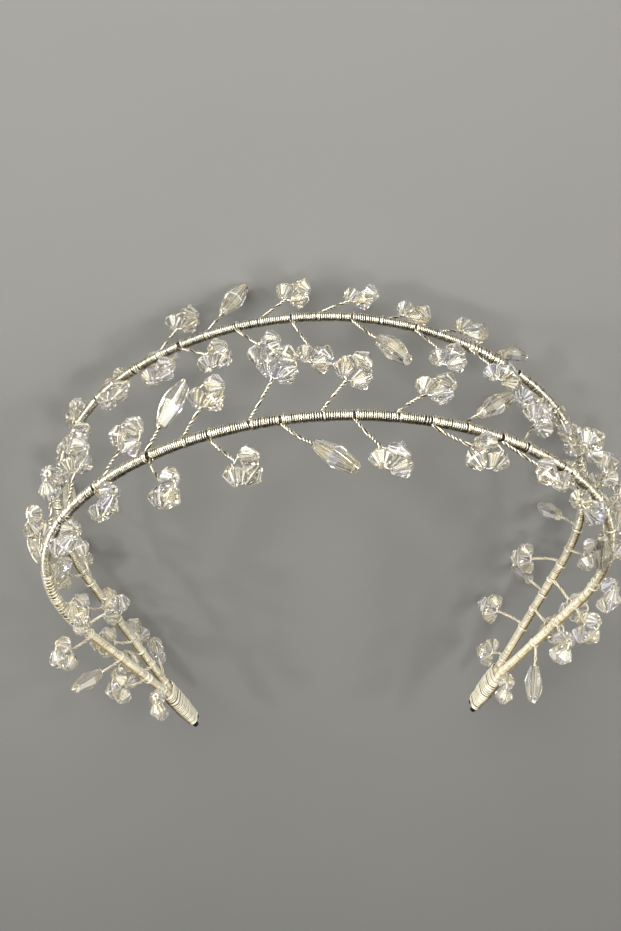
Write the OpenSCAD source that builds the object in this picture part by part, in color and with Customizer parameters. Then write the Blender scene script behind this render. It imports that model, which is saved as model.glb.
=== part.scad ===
// Beaded tiara: two wire bands, bound together at both ends, with crystal sprigs on twisted stems.
// It is worn arch up. Here it lies on its back, the way it rests on a table: X runs across the
// head, Y from the ends to the top of the arch, and Z towards the wearer's front.

/* [Front band] */
// Radius of the arc over the head, to the middle of the wire
front_top_r = 67; // [62:0.5:72]
// Half angle of that arc, on each side of the top
front_half = 50; // [40:1:60]
// Radius of the arcs at the temples
front_side_r = 47.5; // [44:0.5:52]

/* [Back band] */
// Radius of the arc over the head
back_top_r = 75; // [70:0.5:80]
// Angle of that arc to the left of the top
back_left_half = 32; // [28:1:45]
// Angle of that arc to the right of the top
back_right_half = 41; // [32:1:50]
// Radius of the arcs at the temples
back_side_r = 44.5; // [42:0.5:48]

/* [Ends] */
// Turn from level to the slope of the straight arms, in degrees
arm_turn = 112.5; // [110:0.5:115]
// Distance between the two ends of the arch
end_spread = 76; // [70:1:82]
// Length over which the two bands run side by side
joined_len = 17; // [12:1:22]
// Lean of each band away from the upright plane, in degrees
band_lean = 10; // [6:0.5:13]

/* [Wire] */
// Diameter of the dark core wire
core_d = 1.5; // [1.2:0.1:1.8]
// Diameter of the silver wire that is wound on the core and twisted into stems
wire_d = 0.32; // [0.25:0.01:0.4]
// Clearance between a core and its winding
core_gap = 0.05; // [0.03:0.01:0.1]
// Clearance between the windings of the two bands where they run side by side
band_gap = 0.16; // [0.12:0.01:0.3]
// Bare core that shows past the binding at each end
bare_tip = 1.6; // [1:0.1:3]
// Length next to each tip over which the binding lies on the bare cores
bound_cores = 5; // [3:0.1:8]
// Diameter of the coarser wire that binds the ends
binding_wire_d = 0.5; // [0.4:0.05:0.7]

/* [Crystals] */
// Width of a small crystal across its flats
crystal_w = 4.1; // [3.8:0.05:4.2]
// Length of a small crystal along its thread hole
crystal_len = 4.1; // [3.8:0.05:4.2]
// Width of the small flat at each end of a small crystal
crystal_end_w = 1.5; // [1:0.1:1.6]
// Width of a drop across its flats
drop_w = 4; // [3.4:0.1:4.6]
// Length of a drop
drop_len = 9.8; // [8.5:0.1:10.4]
// Width of the small flat at each end of a drop
drop_end_w = 2.4; // [2:0.1:2.8]
// Length of the straight waist in the middle of a drop
drop_waist = 0.8; // [0.4:0.1:3]
// Side of the thread hole
hole_w = 0.7; // [0.55:0.05:0.8]
// Distance from the middle of a cluster of three to the middle of each of its crystals
cluster_r = 2.4; // [2.35:0.05:2.6]

/* [Rest] */
// Slope of the arch when it lies on its back, in degrees
rest_slope = 9.3; // [5:0.1:20]
// Small roll to the side, so that it rests on three crystals
rest_roll = -1; // [-3:0.1:3]

/* [Hidden] */
// One row for each sprig: where its stem leaves the band, in mm along the wire from the top of the
// arch; the edge that it leaves, 1 for the outer edge and -1 for the one between the bands; its
// lean along the band and its lift off the head, in degrees; its length to the middle of the
// crystals; and how many crystals it carries, 3 for a cluster and 1 for a drop.
// Columns: along, edge, lean, lift, reach, crystals
front_sprigs = [
    [-147, 1, 40, -15, 9, 3],
    [-138, 1, 57, 5, 12, 3],
    [-126, 1, 46, 8, 13.5, 1],
    [-113, 1, 45, 3, 12, 3],
    [-106, 1, 68, -36, 8.5, 3],
    [-62, 1, 35, 8, 12, 3],
    [-50, 1, 43, 12, 12, 3],
    [-35, 1, 28, 6, 12, 3],
    [-22, 1, 37, 3, 12.5, 3],
    [-8, 1, 44, 4, 14, 1],
    [5.5, 1, 31, 5, 12, 3],
    [20, 1, 59, 4, 11.5, 3],
    [35, 1, 64, 3, 11.5, 3],
    [54, 1, -12, 17, 12, 3],
    [70, 1, 78, -20, 12.5, 1],
    [86.5, 1, -25, 22, 12, 3],
    [100, 1, -43, -10, 11, 3],
    [111, 1, -30, -12, 11, 3],
    [119.5, 1, -23, -17, 10.5, 3],
    [130, 1, -5, -17, 12, 1],
    [146, 1, -29, -23, 9, 3],
    [-140, -1, 0, 45, 8, 3],
    [-111, -1, -35, -30, 9, 3],
    [-96, -1, 38, 15, 12, 1],
    [-86, -1, 35, 15, 11, 3],
    [-73, -1, 30, 10, 11.5, 3],
    [-61, -1, 25, 5, 11, 3],
    [-48, -1, 57, 5, 10, 3],
    [-36.5, -1, 34, 0, 11.5, 1],
    [-27.5, -1, 31, 0, 10.5, 3],
    [-14, -1, 31, 7, 13, 3],
    [-0.5, -1, 36, 3, 12, 3],
    [13.5, -1, 50, 0, 11.5, 3],
    [27, -1, 49, 0, 10.5, 1],
    [41, -1, 34, 0, 11.5, 3],
    [55, -1, 39, 10, 13, 3],
    [65.5, -1, 35, 11, 12.5, 3],
    [78, -1, 25, 20, 12, 3],
    [90, -1, 10, 30, 12, 3],
    [102, -1, 0, 35, 11, 3]
];
back_sprigs = [
    [-144, 1, 20, 10, 10, 3],
    [-132, 1, 0, 19, 10.5, 3],
    [-120, 1, 0, 24, 10.5, 3],
    [-107, 1, 15, 15, 12, 3],
    [-95, 1, 30, 0, 12, 1],
    [-83, 1, 35, 0, 12, 3],
    [-71, 1, 40, 0, 12, 3],
    [-59, 1, 55, -15, 12, 3],
    [-46, 1, 65, -20, 12, 3],
    [-33.5, 1, 31, 3, 12, 3],
    [-22, 1, 31, 5, 13, 1],
    [-10, 1, 42, 5, 12.5, 3],
    [2.5, 1, 56, 5, 12.5, 3],
    [16, 1, 52, -3, 11.5, 3],
    [29, 1, 56, 2, 12, 3],
    [41.5, 1, 50, 0, 12, 1],
    [55, 1, 60, -15, 11, 3],
    [67, 1, 35, -5, 12, 3],
    [79.5, 1, 8, 5, 12, 3],
    [89, 1, 10, 0, 12, 3],
    [99, 1, 20, -11, 14, 1],
    [110, 1, 39, -14, 14.5, 3],
    [120, 1, 20, -4, 13, 1],
    [131.5, 1, 27, -16, 14.5, 3],
    [143, 1, 38, -3, 10, 3],
    [-137, -1, 45, 30, 8, 3],
    [-127, -1, 50, 20, 9, 3],
    [-114, -1, 45, 20, 9, 3],
    [-103, -1, 45, 5, 9.5, 3],
    [-91, -1, 40, -10, 11, 3],
    [-77, -1, 40, -5, 11, 3],
    [-64, -1, 40, -3, 12, 3],
    [-51, -1, 45, 0, 12, 3],
    [-39.5, -1, 41, 0, 12.5, 3],
    [-28, -1, 42, -5, 13, 3],
    [-15, -1, 31, -5, 13, 3],
    [-3, -1, 21, -13, 14, 3],
    [10, -1, 33, -3, 14.5, 1],
    [24, -1, 30, 1, 12.5, 3],
    [37, -1, 28, 6, 12, 3],
    [50, -1, 5, -1, 12.5, 3],
    [63, -1, 10, 0, 12, 3],
    [76, -1, 20, 0, 12, 3],
    [105, -1, -30, 9, 9, 3],
    [115, -1, 15, 38, 9, 3],
    [125, -1, 7, 35, 7, 3]
];
ALONG = 0;
EDGE = 1;
LEAN = 2;
LIFT = 3;
REACH = 4;
CRYSTALS = 5;

// One row for each band. Columns: top radius, left half angle, right half angle, side radius
FRONT = [front_top_r, front_half, front_half, front_side_r];
BACK = [back_top_r, back_left_half, back_right_half, back_side_r];

winding_id = core_d + 2 * core_gap;
winding_od = winding_id + 2 * wire_d;
side_by_side = (winding_od + band_gap) / 2;
binding_gap = 0.06;
// Heights above the tips, along an arm: where the windings end, where the binding grows wide enough
// to cover them, where its inside does, and where it stops
winding_end = bare_tip + bound_cores;
binding_step = winding_end - 0.3;
binding_bore_step = winding_end - 0.15;
binding_top = joined_len - 0.6;
stem_d = 2 * wire_d;
// The stems leave from the side of the winding, this far from the middle of the core
stem_root_r = (winding_id + winding_od) / 4;
// Two rods stop this far from where they meet, inside a ball a little fatter than they are
joint_gap = 0.04;
joint_swell = 1.025;
loop_swell = 1.12;
crystal_facets = 8;
// Brings the middle of the tiara over the origin and its lowest crystals down to the floor
rest_shift = [-1.56, -62.33, 17.44];
// How far the loop reaches past each end of a crystal
loop_over = 0.1;
loop_half = crystal_len / 2 + loop_over;
// Distance from the middle of a cluster to the short sides of its six-sided loop
loop_corner_r = (cluster_r + loop_half * sqrt(3)) / 2;
loop_corner_half = (cluster_r * sqrt(3) - loop_half) / 2;
// Small knot of wire that holds a drop at its far end
knot_d = 0.9;
// The clusters are rolled about their stems by steps of this angle, a different amount for each
roll_step = 137;
roll_most = 22;
curve_fn = 96;
wire_fn = 24;

// Geometry of a band in its own plane: X to the right, height Z above its ends
function arc_len(r, degrees) = r * degrees * PI / 180;
function spare_r(b) = b[0] - b[3];
function half_of(b, s) = s < 0 ? b[1] : b[2];
// The top of a lopsided band lies a little off the middle, so that its ends stay level
function top_shift(b) =
    (-cos(arm_turn) / sin(arm_turn) * spare_r(b) * (cos(b[2]) - cos(b[1]))
     - spare_r(b) * (sin(b[2]) - sin(b[1]))) / 2;
function arm_len(b, s) =
    (spare_r(b) * sin(half_of(b, s)) + b[3] * sin(arm_turn) - end_spread / 2
     + sign(s) * top_shift(b)) / -cos(arm_turn);
function top_height(b) =
    b[0] - spare_r(b) * cos(half_of(b, 1)) - b[3] * cos(arm_turn) + arm_len(b, 1) * sin(arm_turn);
function top_arc_len(b, s) = arc_len(b[0], half_of(b, s));
function side_arc_len(b, s) = arc_len(b[3], arm_turn - half_of(b, s));
// Angle by which the wire has turned from level, at a distance s along it
function turned(b, s) =
    abs(s) <= top_arc_len(b, s) ? abs(s) / b[0] * 180 / PI
    : min(arm_turn, half_of(b, s) + (abs(s) - top_arc_len(b, s)) / b[3] * 180 / PI);
function past_arcs(b, s) = max(0, abs(s) - top_arc_len(b, s) - side_arc_len(b, s));
// Half width and drop below the top of the arch, at a distance s along the wire
function out_at(b, s) =
    b[0] * sin(min(turned(b, s), half_of(b, s)))
    + b[3] * (sin(max(turned(b, s), half_of(b, s))) - sin(half_of(b, s)))
    + past_arcs(b, s) * cos(arm_turn);
function drop_at(b, s) =
    b[0] * (1 - cos(min(turned(b, s), half_of(b, s))))
    + b[3] * (cos(half_of(b, s)) - cos(max(turned(b, s), half_of(b, s))))
    + past_arcs(b, s) * sin(arm_turn);
function x_at(b, s) = top_shift(b) + sign(s) * out_at(b, s);
function z_at(b, s) = top_height(b) - drop_at(b, s);

joined_height = joined_len * sin(arm_turn);

// Sections in which a band is wound: over the head, at each temple and down each arm.
// Columns: name, hand, order from the top
NAME = 0;
HAND = 1;
ORDER = 2;
SECTIONS = [
    ["top", 0, 0],
    ["left_temple", -1, 1],
    ["right_temple", 1, 1],
    ["left_arm", -1, 2],
    ["right_arm", 1, 2]
];
function arcs_len(b, hand) = top_arc_len(b, hand) + side_arc_len(b, hand);
function end_s(b, hand) = arcs_len(b, hand) + arm_len(b, hand);
function order_at(b, s) = abs(s) < top_arc_len(b, s) ? 0 : abs(s) < arcs_len(b, s) ? 1 : 2;
function is_in(b, part, s) =
    order_at(b, s) == part[ORDER] && (part[HAND] == 0 || part[HAND] == sign(s));

// Crystals of a list of sprigs, by kind
function of_kind(rows, kind) = [for (row = rows) if (row[CRYSTALS] == kind) row];
front_drops = of_kind(front_sprigs, 1);
back_drops = of_kind(back_sprigs, 1);
front_drop_names = [for (i = [1 : len(front_drops)]) str("front_drop_", i)];
back_drop_names = [for (i = [1 : len(back_drops)]) str("back_drop_", i)];
winding_names = [for (band = ["front", "back"], part = SECTIONS) str(band, "_", part[NAME], "_winding")];

// Lays the upright tiara on its back
module lying() {
    translate(rest_shift)
        rotate([0, rest_roll, 0])
            rotate([rest_slope - 90, 0, 0])
                children();
}

// Leans a band's own plane away from the other band, above the joined ends
module leaning() {
    translate([0, side_by_side, joined_height])
        rotate([-band_lean, 0, 0])
            translate([0, 0, -joined_height])
                children();
}

// The front band is drawn as a back band and mirrored
module front_side() {
    mirror([0, 1, 0])
        children();
}

module arc_rod(x, z, r, from_angle, angle, d) {
    trim = joint_gap / r * 180 / PI;
    translate([x, 0, z])
        rotate([90, 0, 0])
            rotate([0, 0, from_angle + trim])
                rotate_extrude(angle = angle - 2 * trim, $fn = curve_fn)
                    translate([r, 0])
                        circle(d = d, $fn = wire_fn);
}

// Straight rod along an arm, from one distance along the band to another
module arm_rod(b, hand, from_s, to_s, d) {
    translate([x_at(b, hand * from_s), 0, z_at(b, hand * from_s)])
        rotate([0, hand * arm_turn, 0])
            rotate([0, hand * 90, 0])
                translate([0, 0, joint_gap])
                    cylinder(h = to_s - from_s - joint_gap, d = d, $fn = wire_fn);
}

module joint_ball(b, s, d) {
    translate([x_at(b, s), 0, z_at(b, s)])
        sphere(d = d * joint_swell, $fn = wire_fn);
}

// One section of a band as a solid rod; an arm stops short of its end by the given length
module band_section(b, part, d, short) {
    hand = part[HAND];
    half = half_of(b, hand);
    if (part[ORDER] == 0)
        leaning()
            arc_rod(top_shift(b), top_height(b) - b[0], b[0], 90 - b[2], b[1] + b[2], d);
    if (part[ORDER] == 1)
        leaning()
            arc_rod(
                top_shift(b) + hand * spare_r(b) * sin(half),
                top_height(b) - b[0] + spare_r(b) * cos(half),
                b[3], hand > 0 ? 90 - arm_turn : 90 + half, arm_turn - half, d);
    if (part[ORDER] == 2) {
        s = end_s(b, hand) - joined_len;
        leaning()
            arm_rod(b, hand, arcs_len(b, hand), s - joint_gap, d);
        translate([0, side_by_side, 0]) {
            arm_rod(b, hand, s, end_s(b, hand) - short, d);
            joint_ball(b, hand * s, d);
        }
    }
}

// The whole band as one solid rod, with a ball at each place where two sections meet
module band_rod(b, d, short) {
    for (part = SECTIONS)
        band_section(b, part, d, short);
    leaning()
        for (hand = [-1, 1]) {
            joint_ball(b, hand * top_arc_len(b, hand), d);
            joint_ball(b, hand * arcs_len(b, hand), d);
        }
}

// Carries a sprig to its root: X along the band, Y away from the other band, Z off the head
module at_root(b, row) {
    s = row[ALONG];
    leaning()
        translate([x_at(b, s), 0, z_at(b, s)])
            rotate([0, sign(s) * turned(b, s), 0])
                translate([0, row[EDGE] * stem_root_r, 0])
                    rotate([0, 0, row[EDGE] * (90 - row[LEAN])])
                        rotate([0, -row[LIFT], 0])
                            rotate([roll_most * sin(roll_step * s), 0, 0])
                                children();
}

// Loop of wire through a cluster of three crystals, around the origin
module cluster_loop() {
    for (k = [0 : 2])
        rotate([0, 0, 120 * k]) {
            translate([cluster_r, 0, 0])
                rotate([90, 0, 0])
                    cylinder(h = 2 * loop_half, d = wire_d, center = true, $fn = wire_fn);
            translate([cluster_r, loop_half, 0])
                rotate([0, 90, 150])
                    cylinder(h = 2 * loop_corner_half, d = wire_d, $fn = wire_fn);
            for (end = [-1, 1])
                translate([cluster_r, end * loop_half, 0])
                    rotate([90, 0, 0])
                        sphere(d = wire_d * loop_swell, $fn = wire_fn);
        }
}

// Twisted stem along X, with the wire that holds its crystals
module stem(row) {
    drop = row[CRYSTALS] == 1;
    stem_len = row[REACH] - (drop ? drop_len / 2 + loop_over : loop_corner_r);
    rotate([0, 90, 0])
        cylinder(h = stem_len, d = stem_d, $fn = wire_fn);
    translate([row[REACH], 0, 0])
        if (drop) {
            translate([loop_over, 0, 0])
                rotate([0, 90, 0])
                    cylinder(h = drop_len + 6 * loop_over, d = wire_d, center = true, $fn = wire_fn);
            translate([(drop_len + knot_d) / 2 + loop_over, 0, 0])
                sphere(d = knot_d, $fn = wire_fn);
        } else {
            cluster_loop();
        }
}

// Eight-sided cut solid with its thread hole along Z, from half of its outline
module cut_crystal(outline, w, h) {
    difference() {
        intersection_for (k = [0 : crystal_facets / 2 - 1])
            rotate([90, 0, k * 360 / crystal_facets])
                linear_extrude(height = 2 * w, center = true)
                    polygon(outline);
        cube([hole_w, hole_w, 2 * h], center = true);
    }
}

module small_crystal() {
    e = crystal_end_w / 2;
    w = crystal_w / 2;
    h = crystal_len / 2;
    cut_crystal([[e, h], [w, 0], [e, -h], [-e, -h], [-w, 0], [-e, h]], crystal_w, crystal_len);
}

module drop_crystal() {
    e = drop_end_w / 2;
    w = drop_w / 2;
    h = drop_len / 2;
    m = drop_waist / 2;
    cut_crystal(
        [[e, h], [w, m], [w, -m], [e, -h], [-e, -h], [-w, -m], [-w, m], [-e, h]],
        drop_w, drop_len);
}

module cluster_crystals(row) {
    translate([row[REACH], 0, 0])
        for (k = [0 : 2])
            rotate([0, 0, 120 * k])
                translate([cluster_r, 0, 0])
                    rotate([90, 0, 0])
                        small_crystal();
}

module core(b) {
    color("dimgray")
        band_rod(b, core_d, 0);
}

// Close winding of silver wire on one section, with the stems that are twisted out of it
module winding(b, sprigs, part) {
    color("gainsboro")
        difference() {
            union() {
                band_section(b, part, winding_od, winding_end);
                for (row = sprigs)
                    if (is_in(b, part, row[ALONG]))
                        at_root(b, row)
                            stem(row);
            }
            band_rod(b, winding_id, -bare_tip);
        }
}

module crystals(b, sprigs) {
    color("azure")
        for (row = of_kind(sprigs, 3))
            at_root(b, row)
                cluster_crystals(row);
}

module drop(b, row) {
    color("azure")
        at_root(b, row)
            translate([row[REACH], 0, 0])
                rotate([0, 90, 0])
                    drop_crystal();
}

// Rod of long round section across both bands, between two heights along an arm
module across_both(d, from_z, to_z) {
    translate([0, 0, from_z])
        linear_extrude(height = to_z - from_z) {
            for (side = [-1, 1])
                translate([side * side_by_side, 0])
                    circle(d = d, $fn = wire_fn);
            square([2 * side_by_side, d], center = true);
        }
}

// Coarse wire wound around both bands at one end: over their windings, then over the bare cores
module binding(hand) {
    core_bore_d = core_d + 2 * binding_gap;
    winding_bore_d = winding_od + 2 * binding_gap;
    color("silver")
        translate([hand * end_spread / 2, 0, 0])
            rotate([0, hand * (arm_turn - 90), 0])
                rotate([0, 0, 90])
                    difference() {
                        union() {
                            across_both(core_bore_d + 2 * binding_wire_d, bare_tip, winding_end);
                            across_both(winding_bore_d + 2 * binding_wire_d, binding_step, binding_top);
                        }
                        across_both(core_bore_d, 0, winding_end);
                        across_both(winding_bore_d, binding_bore_step, joined_len);
                    }
}

lying() front_side() core(FRONT);  // front_core
lying() core(BACK);  // back_core
for (part = SECTIONS) {
    lying() front_side() winding(FRONT, front_sprigs, part);
    lying() winding(BACK, back_sprigs, part);
}
lying() binding(-1);  // left_binding
lying() binding(1);  // right_binding
lying() front_side() crystals(FRONT, front_sprigs);  // front_crystals
lying() crystals(BACK, back_sprigs);  // back_crystals
for (i = [1 : len(front_drops)])
    lying() front_side() drop(FRONT, front_drops[i - 1]);
for (i = [1 : len(back_drops)])
    lying() drop(BACK, back_drops[i - 1]);
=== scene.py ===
import math
from collections import namedtuple

import bpy
import numpy as np
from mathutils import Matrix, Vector


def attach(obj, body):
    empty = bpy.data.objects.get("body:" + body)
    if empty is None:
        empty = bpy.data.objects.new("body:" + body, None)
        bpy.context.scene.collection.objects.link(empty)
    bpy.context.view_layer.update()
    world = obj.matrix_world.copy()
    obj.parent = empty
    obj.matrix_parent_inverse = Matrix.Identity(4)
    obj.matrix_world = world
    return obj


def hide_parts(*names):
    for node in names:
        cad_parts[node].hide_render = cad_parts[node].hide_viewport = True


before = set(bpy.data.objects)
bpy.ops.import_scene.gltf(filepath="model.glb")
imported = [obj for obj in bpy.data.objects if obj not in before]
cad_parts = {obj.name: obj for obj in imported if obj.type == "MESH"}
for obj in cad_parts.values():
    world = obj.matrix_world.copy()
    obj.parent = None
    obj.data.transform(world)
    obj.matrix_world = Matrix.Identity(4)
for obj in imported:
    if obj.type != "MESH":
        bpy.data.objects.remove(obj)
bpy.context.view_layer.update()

bl_info = {
    "name": "Beaded tiara",
    "version": (1, 0, 0),
    "blender": (4, 5, 0),
    "location": "View3D > Sidebar > Tiara",
    "description": "Dresses a two-band tiara with wound wire, twisted stems and cut glass",
    "category": "Object",
}

# Lengths in millimetres and turns in degrees, as in the part's source
MM = 0.001
# Where the arcs end, how far apart the tips are, how long the bands run side by side, their lean
ARM_TURN = 112.5
END_SPREAD = 76
JOINED_LEN = 17
BAND_LEAN = 10
# Wires: the core, the winding round it, and the room between and beyond the windings
CORE_R = 0.75
WIRE_D = 0.32
BORE_R = 0.8
WINDING_R = BORE_R + WIRE_D
BAND_GAP = 0.16
BARE_TIP = 1.6
BINDING_GAP = 0.06
# Stones: length, radius at the ends and at the girdle, and the hole for the wire
CRYSTAL_LEN = 4.1
CRYSTAL_END_R = 0.85
CRYSTAL_R = 2.13
DROP_LEN = 9.8
DROP_END_R = 1.25
DROP_R = 2.1
HOLE_R = 0.33
# Sprigs: crystals from the middle of their cluster, how far the loop stands past them, where stems
# start from the middle of the band, and how they roll
CLUSTER_R = 2.4
LOOP_OVER = 0.1
STEM_ROOT_R = 0.96
ROLL_STEP = 137
ROLL_MOST = 22
# How the tiara lies on the floor
REST_SLOPE = 9.3
REST_ROLL = -1
REST_SHIFT = (-1.56, -62.33, 17.44)

LOOP_HALF = CRYSTAL_LEN / 2 + LOOP_OVER
LOOP_CORNER_R = (CLUSTER_R + LOOP_HALF * math.sqrt(3)) / 2
SIDE_BY_SIDE = WINDING_R + BAND_GAP / 2

# Winding: points in one turn and round its wire, how much the turns vary in width and in height,
# how many turns are laid wide and by how much, and how much darker the darkest turn is
TURN_STEPS = 12
WIRE_SIDES = 6
TURN_VARIES = 0.1
TURN_SWELLS = 0.03
WIDE_TURNS = 0.06
WIDE_TURN = 0.45
TURN_DARKENS = 0.22

# A direction that no wire starts along
ASLANT = (0.31, 0.87, 0.39)

# Gaps at the roots of the stems: half their width on the closed side, the length over which the
# turns beside one close up again, how far it leans, how narrow it is round the band, and the arc
# over the head where gaps gape most
ROOT_HALF = 0.05
OPEN_FADE = 1.5
GAP_SLANT = 0.14
GAP_NARROW = 3.5
WELL_SEEN = 62
# How wide a gap is, as a share of the root gap: past that arc, at least on it, and how much more
# at most
ARM_GAP = 0.08
LEAST_GAP = 0.1
GAP_VARIES = 0.75

# Stretches that carry the open wrap, each with its hand, how far along the band it starts and ends
# and how loosely it is laid; its wire; and how far the turns slip and, where they do, stand off
OPEN_WRAP = {"front": ((-1, 84, 112, 0.9),), "back": ((1, 36, 46, 0.5),)}
OPEN_WRAP_R = 0.18
OPEN_WRAP_SIDES = 7
WRAP_SLIPS = 0.2
WRAP_STANDS = 0.4

# Side of each band painted dark brown as shade, as an angle round the band over the head and on the
# arms, and how deep the painted shade is over the head; how deep it is on the arms; how narrow it
# is over the head and on the arms; and the stretch over which it goes from one to the other
SHADED_SIDE_AT = {"front": (-28, 14, 0.3), "back": (208, 152, 0.1)}
SIDE_SHADE_ON_ARM = 0.95
SIDE_SHADE_NARROW = (4, 12)
SIDE_SHADE_FROM = (84, 94)

# Where the polish ends and where the satin is full, in metres from the middle of the tiara
WORN_FROM, WORN_TO = 0.024, -0.018

# The raised turn that a stem starts from: how much of a full turn it is, its points, how far it
# slants in strand radii a turn, how high it lies, where it dips and how far, and how thick it is
# for the strand's thickness
LAST_TURN = 0.94
LAST_STEPS = 18
LAST_SLANT = 2.6
LAST_LIFT = 0.03
LAST_DIP_FROM = 0.8
LAST_DIP = 0.2
LAST_THICK = 1.15

# Stems: points in one twist, sides of their strands and of the loops, how far they bend and bow,
# how far the strands lie from the middle in strand radii, the length over which they come together,
# how uneven the twist is, and the outward value between the strands
TWIST_STEPS = 11
STRAND_SIDES = 6
LOOP_SIDES = 5
STEM_BEND = 0.55
STEM_BOW = 0.2
STRAND_APART = 1.16
STRANDS_MEET = 0.55
TWIST_UNEVEN = 0.25
# The outward value between the strands sets how dark the painted shade in the twist is
LEAST_OUTWARD = 0.35

# Bindings: length at each tip over which they lie on the bare cores, length over which they step
# down to them, how far they stop short of the joined stretch's ends, the pitch in wire radii, the
# points in one turn, how far the turns slip, and rise and shift with it, and the wire's sides
BOUND_CORES = 5
STEP_DOWN = 2
BINDING_INSET = {"first": 0.8, "last": 0.1}
BINDING_PITCH = 2.65
BINDING_STEPS = 24
BINDING_SLIPS = 0.17
SLIP_RISES = 0.5
SLIP_SHIFTS = 0.25
BINDING_SIDES = 8

# Beyond this distance along the bands the stones look milky
MILKY_FROM = 88
# Half the height of a stone's girdle, the bevel at the ends of a drop, and the height below which a
# row of facets is a rim
GIRDLE_HALF = 0.2
BEVEL_HIGH, BEVEL_DEEP = 0.15, 0.12
RIM_HIGH = 0.5

# Half the side of the floor
FLOOR_HALF = 1500

# The sections of each band's winding in the source
SECTIONS = ("top", "left_temple", "right_temple", "left_arm", "right_arm")

# One row for each sprig: where its stem leaves the band, along the wire from the top of the arch;
# the edge that it leaves; its lean along the band and its lift off the head, in degrees; its length
# to the middle of the crystals; and how many crystals it carries.
ALONG, EDGE, LEAN, LIFT, REACH, CRYSTALS = range(6)
FRONT_SPRIGS = (
    (-147, 1, 40, -15, 9, 3),
    (-138, 1, 57, 5, 12, 3),
    (-126, 1, 46, 8, 13.5, 1),
    (-113, 1, 45, 3, 12, 3),
    (-106, 1, 68, -36, 8.5, 3),
    (-62, 1, 35, 8, 12, 3),
    (-50, 1, 43, 12, 12, 3),
    (-35, 1, 28, 6, 12, 3),
    (-22, 1, 37, 3, 12.5, 3),
    (-8, 1, 44, 4, 14, 1),
    (5.5, 1, 31, 5, 12, 3),
    (20, 1, 59, 4, 11.5, 3),
    (35, 1, 64, 3, 11.5, 3),
    (54, 1, -12, 17, 12, 3),
    (70, 1, 78, -20, 12.5, 1),
    (86.5, 1, -25, 22, 12, 3),
    (100, 1, -43, -10, 11, 3),
    (111, 1, -30, -12, 11, 3),
    (119.5, 1, -23, -17, 10.5, 3),
    (130, 1, -5, -17, 12, 1),
    (146, 1, -29, -23, 9, 3),
    (-140, -1, 0, 45, 8, 3),
    (-111, -1, -35, -30, 9, 3),
    (-96, -1, 38, 15, 12, 1),
    (-86, -1, 35, 15, 11, 3),
    (-73, -1, 30, 10, 11.5, 3),
    (-61, -1, 25, 5, 11, 3),
    (-48, -1, 57, 5, 10, 3),
    (-36.5, -1, 34, 0, 11.5, 1),
    (-27.5, -1, 31, 0, 10.5, 3),
    (-14, -1, 31, 7, 13, 3),
    (-0.5, -1, 36, 3, 12, 3),
    (13.5, -1, 50, 0, 11.5, 3),
    (27, -1, 49, 0, 10.5, 1),
    (41, -1, 34, 0, 11.5, 3),
    (55, -1, 39, 10, 13, 3),
    (65.5, -1, 35, 11, 12.5, 3),
    (78, -1, 25, 20, 12, 3),
    (90, -1, 10, 30, 12, 3),
    (102, -1, 0, 35, 11, 3),
)
BACK_SPRIGS = (
    (-144, 1, 20, 10, 10, 3),
    (-132, 1, 0, 19, 10.5, 3),
    (-120, 1, 0, 24, 10.5, 3),
    (-107, 1, 15, 15, 12, 3),
    (-95, 1, 30, 0, 12, 1),
    (-83, 1, 35, 0, 12, 3),
    (-71, 1, 40, 0, 12, 3),
    (-59, 1, 55, -15, 12, 3),
    (-46, 1, 65, -20, 12, 3),
    (-33.5, 1, 31, 3, 12, 3),
    (-22, 1, 31, 5, 13, 1),
    (-10, 1, 42, 5, 12.5, 3),
    (2.5, 1, 56, 5, 12.5, 3),
    (16, 1, 52, -3, 11.5, 3),
    (29, 1, 56, 2, 12, 3),
    (41.5, 1, 50, 0, 12, 1),
    (55, 1, 60, -15, 11, 3),
    (67, 1, 35, -5, 12, 3),
    (79.5, 1, 8, 5, 12, 3),
    (89, 1, 10, 0, 12, 3),
    (99, 1, 20, -11, 14, 1),
    (110, 1, 39, -14, 14.5, 3),
    (120, 1, 20, -4, 13, 1),
    (131.5, 1, 27, -16, 14.5, 3),
    (143, 1, 38, -3, 10, 3),
    (-137, -1, 45, 30, 8, 3),
    (-127, -1, 50, 20, 9, 3),
    (-114, -1, 45, 20, 9, 3),
    (-103, -1, 45, 5, 9.5, 3),
    (-91, -1, 40, -10, 11, 3),
    (-77, -1, 40, -5, 11, 3),
    (-64, -1, 40, -3, 12, 3),
    (-51, -1, 45, 0, 12, 3),
    (-39.5, -1, 41, 0, 12.5, 3),
    (-28, -1, 42, -5, 13, 3),
    (-15, -1, 31, -5, 13, 3),
    (-3, -1, 21, -13, 14, 3),
    (10, -1, 33, -3, 14.5, 1),
    (24, -1, 30, 1, 12.5, 3),
    (37, -1, 28, 6, 12, 3),
    (50, -1, 5, -1, 12.5, 3),
    (63, -1, 10, 0, 12, 3),
    (76, -1, 20, 0, 12, 3),
    (105, -1, -30, 9, 9, 3),
    (115, -1, 15, 38, 9, 3),
    (125, -1, 7, 35, 7, 3),
)


def turn_about(axis):
    """The function that gives a turn about one axis by so many degrees."""
    first, second = (axis + 1) % 3, (axis + 2) % 3

    def turn(degrees):
        c, s = math.cos(math.radians(degrees)), math.sin(math.radians(degrees))
        matrix = np.eye(3)
        matrix[first, first] = matrix[second, second] = c
        matrix[first, second], matrix[second, first] = -s, s
        return matrix

    return turn


turn_x, turn_y, turn_z = (turn_about(axis) for axis in range(3))

LYING = turn_y(REST_ROLL) @ turn_x(REST_SLOPE - 90)
LEANING = turn_x(-BAND_LEAN)


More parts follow.
